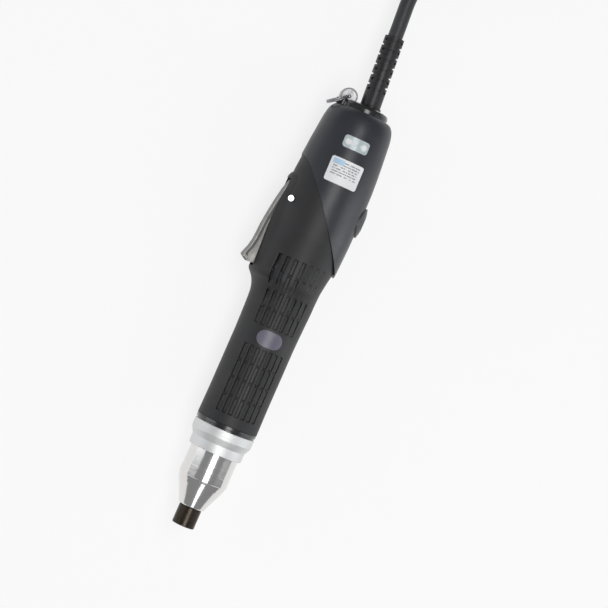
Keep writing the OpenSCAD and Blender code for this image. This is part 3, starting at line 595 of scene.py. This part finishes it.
# ---------------------------------------------------------------- cable
# the relief stands 2.1 mm towards the rocker and leans back 3.9 degrees; the cable starts and leaves
# it so far along, in millimetres
RELIEF_ASIDE = 2.1
RELIEF_LEAN = math.radians(3.9)
CABLE_START, RELIEF_LENGTH = 35.5, 41.5
# the routes and the hank, in metres on the table
LEAD_ROUTE = [
    (-0.1540, 0.0017, 0.0230), (-0.1620, 0.0012, 0.0228), (-0.1700, 0.0009, 0.0225),
    (-0.1770, 0.0016, 0.0224), (-0.1840, 0.0036, 0.0224), (-0.1910, 0.0069, 0.0224),
    (-0.1980, 0.0114, 0.0224), (-0.2050, 0.0168, 0.0224), (-0.2120, 0.0225, 0.0224),
    (-0.2190, 0.0276, 0.0224), (-0.2260, 0.0314, 0.0224), (-0.2330, 0.0335, 0.0224),
    (-0.2400, 0.0341, 0.0224), (-0.2600, 0.0341, 0.0224), (-0.2850, 0.0341, 0.0224),
]
TAIL_ROUTE = [
    (-0.3040, -0.0252, 0.0224), (-0.2970, -0.0236, 0.0221), (-0.2900, -0.0206, 0.0211),
    (-0.2830, -0.0166, 0.0195), (-0.2760, -0.0122, 0.0172), (-0.2690, -0.0079, 0.0146),
    (-0.2620, -0.0042, 0.0120), (-0.2550, -0.0016, 0.0098), (-0.2460, 0, 0.0086),
]
HANK_NEAR, HANK_FAR = -0.219, -0.311
FOLD_R = (0.0255, 0.03415)
LAYER_Z = (0.00505, 0.0137, 0.02235)
RUN_STEPS, FOLD_STEPS = 6, 10
# a run on the rocker side starts to shift after this share of it, once the lead has crossed
SHIFT_START = 0.3
# column (inner 0, outer 1) and layer of each turn where it passes four gates: after the rocker
# side's run, the far fold, the lever side's run and the near fold
TURNS = (
    ((1, 2), (1, 2), (1, 1), (1, 1)),
    ((1, 1), (1, 1), (1, 0), (1, 0)),
    ((1, 0), (0, 0), (0, 0), (0, 0)),
    ((0, 1), (0, 1), (0, 1), (0, 1)),
    ((0, 2), (0, 2), None, None),
)


def ease(t):
    return t * t * (3 - 2 * t)


def hank_points():
    """The turns of the hank, from the end of its first run to the far fold of the last turn."""
    points = []
    run = HANK_NEAR - HANK_FAR
    before = (1, 2)
    for turn, gates in enumerate(TURNS):
        for leg, gate in enumerate(gates):
            if gate is None:
                return points
            count = FOLD_STEPS if leg % 2 else RUN_STEPS
            for i in range(count):
                t = (i + 1) / count
                move = ease(t) if leg else ease(max(0, (t - SHIFT_START) / (1 - SHIFT_START)))
                r = FOLD_R[before[0]] + (FOLD_R[gate[0]] - FOLD_R[before[0]]) * move
                z = LAYER_Z[before[1]] + (LAYER_Z[gate[1]] - LAYER_Z[before[1]]) * move
                if leg == 0:
                    place = (HANK_NEAR - run * t, r, z)
                elif leg == 2:
                    place = (HANK_FAR + run * t, -r, z)
                else:
                    x, start = (HANK_FAR, 90) if leg == 1 else (HANK_NEAR, -90)
                    a = math.radians(start + 180 * t)
                    place = (x + r * math.cos(a), r * math.sin(a), z)
                if turn or leg or t == 1:
                    points.append(place)
            before = gate
    return points


def smooth_spline(curve, places):
    """One open spline through the places, with handles that keep it smooth."""
    spline = curve.splines.new("BEZIER")
    spline.bezier_points.add(len(places) - 1)
    for i, point in enumerate(spline.bezier_points):
        back = places[i] - places[i - 1] if i else places[1] - places[0]
        ahead = places[i + 1] - places[i] if i + 1 < len(places) else back
        way = (back.normalized() * ahead.length + ahead.normalized() * back.length).normalized()
        point.co = places[i]
        point.handle_left_type = point.handle_right_type = "FREE"
        point.handle_left = places[i] - way * back.length / 3
        point.handle_right = places[i] + way * ahead.length / 3


class SCREWDRIVER_OT_cable(bpy.types.Operator):
    """Lays the cable from the strain relief through its hank to the plug"""

    bl_idname = "screwdriver.cable"
    bl_label = "Cable"

    def execute(self, context):
        sizes = context.scene.screwdriver

        def in_relief(x, along):
            return Vector((x, on_tool(RELIEF_ASIDE - along * math.sin(RELIEF_LEAN), 0, 0).y, AXIS_Z))

        start = in_relief(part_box("cord_lead")[1].x, CABLE_START)
        mouth = in_relief(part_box("strain_relief")[0].x + 0.0004, RELIEF_LENGTH)
        places = [start, mouth] + [Vector(p) for p in LEAD_ROUTE + hank_points() + TAIL_ROUTE]
        curve = bpy.data.curves.new("cable", "CURVE")
        curve.dimensions = "3D"
        curve.bevel_depth = sizes.cord_diameter / 2
        curve.bevel_resolution = 5
        curve.resolution_u = 3
        curve.use_fill_caps = True
        smooth_spline(curve, places)
        cable = bpy.data.objects.new("cable", curve)
        context.scene.collection.objects.link(cable)
        curve.materials.append(FINISHES["cord_jacket"])
        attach(cable, "body")
        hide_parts("cord_lead", "cord_coil", "cord_tail")
        return {"FINISHED"}


# ---------------------------------------------------------------- body
class SCREWDRIVER_OT_finishes(bpy.types.Operator):
    """Gives every modelled part its finish"""

    bl_idname = "screwdriver.finishes"
    bl_label = "Finishes"

    def execute(self, context):
        FINISHES.update(make_finishes(context.scene.screwdriver))
        for name, node in NODES.items():
            node.data.materials.clear()
            node.data.materials.append(FINISHES[SLOT_OF[name]])
        # the lever is brushed duller than the pins and balls that share its slot
        NODES["lever"].data.materials[0] = drawn("lever_satin", (0.20, 0.195, 0.19), 0.50).material
        return {"FINISHED"}


class SCREWDRIVER_OT_skins(bpy.types.Operator):
    """Makes the smooth outer skins of the housing and the grip cover"""

    bl_idname = "screwdriver.skins"
    bl_label = "Housing and Grip"

    def execute(self, context):
        for name, node, table in (
            ("housing_front", "shell_label_side", SHELL_SKIN),
            ("housing_back", "shell_far_side", SHELL_SKIN),
            ("grip_skin", "grip_cover", COVER_SKIN),
        ):
            shade_as_skin(make_piece(name, merged_copy(node), "body", SLOT_OF[node], 28, (node,)), table)
        return {"FINISHED"}


# height, and x of the front edge of the guards beside the lever, in millimetres
GUARD_EDGE = (
    (149.5, -23.6), (152, -23.7), (156, -23.8), (160, -24.0), (165, -24.3), (170, -24.6), (176, -24.7),
    (182, -24.5), (187, -24.0), (192, -23.4), (197, -22.7), (201, -21.9),
)
# how far from the middle plane a guard's inner wall stands and its slope meets the cover, and how
# deep its back is sunk in the cover
GUARD_WALL, GUARD_FOOT = 5.7, 10.4
GUARD_SINK = 1.2
# x and height of the lever's front, in millimetres
LEVER_FACE = (
    (-22.6, 199.2), (-24.3, 193), (-25.3, 187.5), (-26.2, 182), (-26.9, 176.5), (-27.5, 171),
    (-27.8, 165), (-28.1, 161), (-28.9, 157), (-29.9, 154.2), (-30.4, 152.0), (-30.0, 151.2),
)
# where a line starts and ends behind the lever's front, and how far it is sunk and stands proud
LINE_BAND = (0.7, 2.0)
LINE_SINK, LINE_PROUD = 0.1, 0.2


def guard_section(z, edge):
    """A guard's outline at a height, as x and the distance from the middle plane."""
    centre, r = skin_ring(COVER_SKIN, z)

    def skin(y, sink=0.0):
        return centre - math.sqrt((r - sink) ** 2 - y * y)

    edge = min(edge, skin(GUARD_WALL) + 0.1)
    foot = skin(GUARD_FOOT, 0.12)
    return (
        (skin(GUARD_WALL, GUARD_SINK), 5.72), (edge + 0.25, 5.72), (edge, 5.95), (edge + 0.05, 6.4),
        (edge * 0.72 + foot * 0.28 - 0.1, 7.5), (edge * 0.3 + foot * 0.7 - 0.1, 9.0),
        (foot, GUARD_FOOT), (skin(10.2, GUARD_SINK), 10.2),
    )


class SCREWDRIVER_OT_lever_trim(bpy.types.Operator):
    """Adds the guards beside the lever and the dark lines on its sides"""

    bl_idname = "screwdriver.lever_trim"
    bl_label = "Lever Guards and Lines"

    def execute(self, context):
        low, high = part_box("lever")
        half = (high.z - low.z) * 500
        front, rear = LINE_BAND
        inner, outer = half - LINE_SINK, half + LINE_PROUD
        band = ((front, inner), (front, outer), (rear, outer), (rear, inner))
        guards, lines = bmesh.new(), bmesh.new()
        for side in (-1, 1):
            loft(guards, [[(x, side * y, z) for x, y in guard_section(z, edge)] for z, edge in GUARD_EDGE])
            loft(lines, [[(x + a, side * y, z) for a, y in band] for x, z in LEVER_FACE])
        make_piece("lever_guards", guards, "body", "grip_rubber", 40)
        make_piece("lever_lines", lines, "lever", "relief_rubber", 40)
        return {"FINISHED"}


# each spring: the joint that shortens it, its axis, the place of its fixed end and what is left of
# its length
SPRINGS = {
    "lever_spring": ("lever_press", (0, 1, 0), (0, -0.014425, 0), 0.65),
    "clutch_spring": ("pressure_slide", (1, 0, 0), (0.091091, 0, 0), 0.70),
    "chuck_spring": ("sleeve_slide", (1, 0, 0), (0.133391, 0, 0), 0.74),
}


class SCREWDRIVER_OT_springs(bpy.types.Operator):
    """Replaces the three springs with smoothly shaded copies of their own"""

    bl_idname = "screwdriver.springs"
    bl_label = "Springs"

    def execute(self, context):
        for node, (joint, axis, fixed, keep) in SPRINGS.items():
            wire = make_piece(node + "_wire", merged_copy(node), "body", SLOT_OF[node], 60, (node,))
            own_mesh(wire)
        return {"FINISHED"}


STEPS = ("finishes", "stage", "cable", "skins", "lever_trim", "springs")


class SCREWDRIVER_PT_panel(bpy.types.Panel):
    """Lists the steps that dress the screwdriver"""

    bl_label = "Electric Torque Screwdriver"
    bl_idname = "SCREWDRIVER_PT_panel"
    bl_space_type = "VIEW_3D"
    bl_region_type = "UI"
    bl_category = "Screwdriver"

    def draw(self, context):
        for group in (context.scene.screwdriver, context.scene.screwdriver_stage):
            for name in group.__annotations__:
                self.layout.prop(group, name)
        for step in STEPS:
            self.layout.operator("screwdriver." + step)


CLASSES = (
    ToolSizes, StageSizes, SCREWDRIVER_OT_finishes, SCREWDRIVER_OT_stage, SCREWDRIVER_OT_cable,
    SCREWDRIVER_OT_skins, SCREWDRIVER_OT_lever_trim, SCREWDRIVER_OT_springs, SCREWDRIVER_PT_panel,
)


def register():
    for item in CLASSES:
        bpy.utils.register_class(item)
    bpy.types.Scene.screwdriver = bpy.props.PointerProperty(type=ToolSizes)
    bpy.types.Scene.screwdriver_stage = bpy.props.PointerProperty(type=StageSizes)


def unregister():
    del bpy.types.Scene.screwdriver_stage
    del bpy.types.Scene.screwdriver
    for item in reversed(CLASSES):
        bpy.utils.unregister_class(item)


def main():
    register()
    for step in STEPS:
        getattr(bpy.ops.screwdriver, step)()


if __name__ == "__main__":
    main()
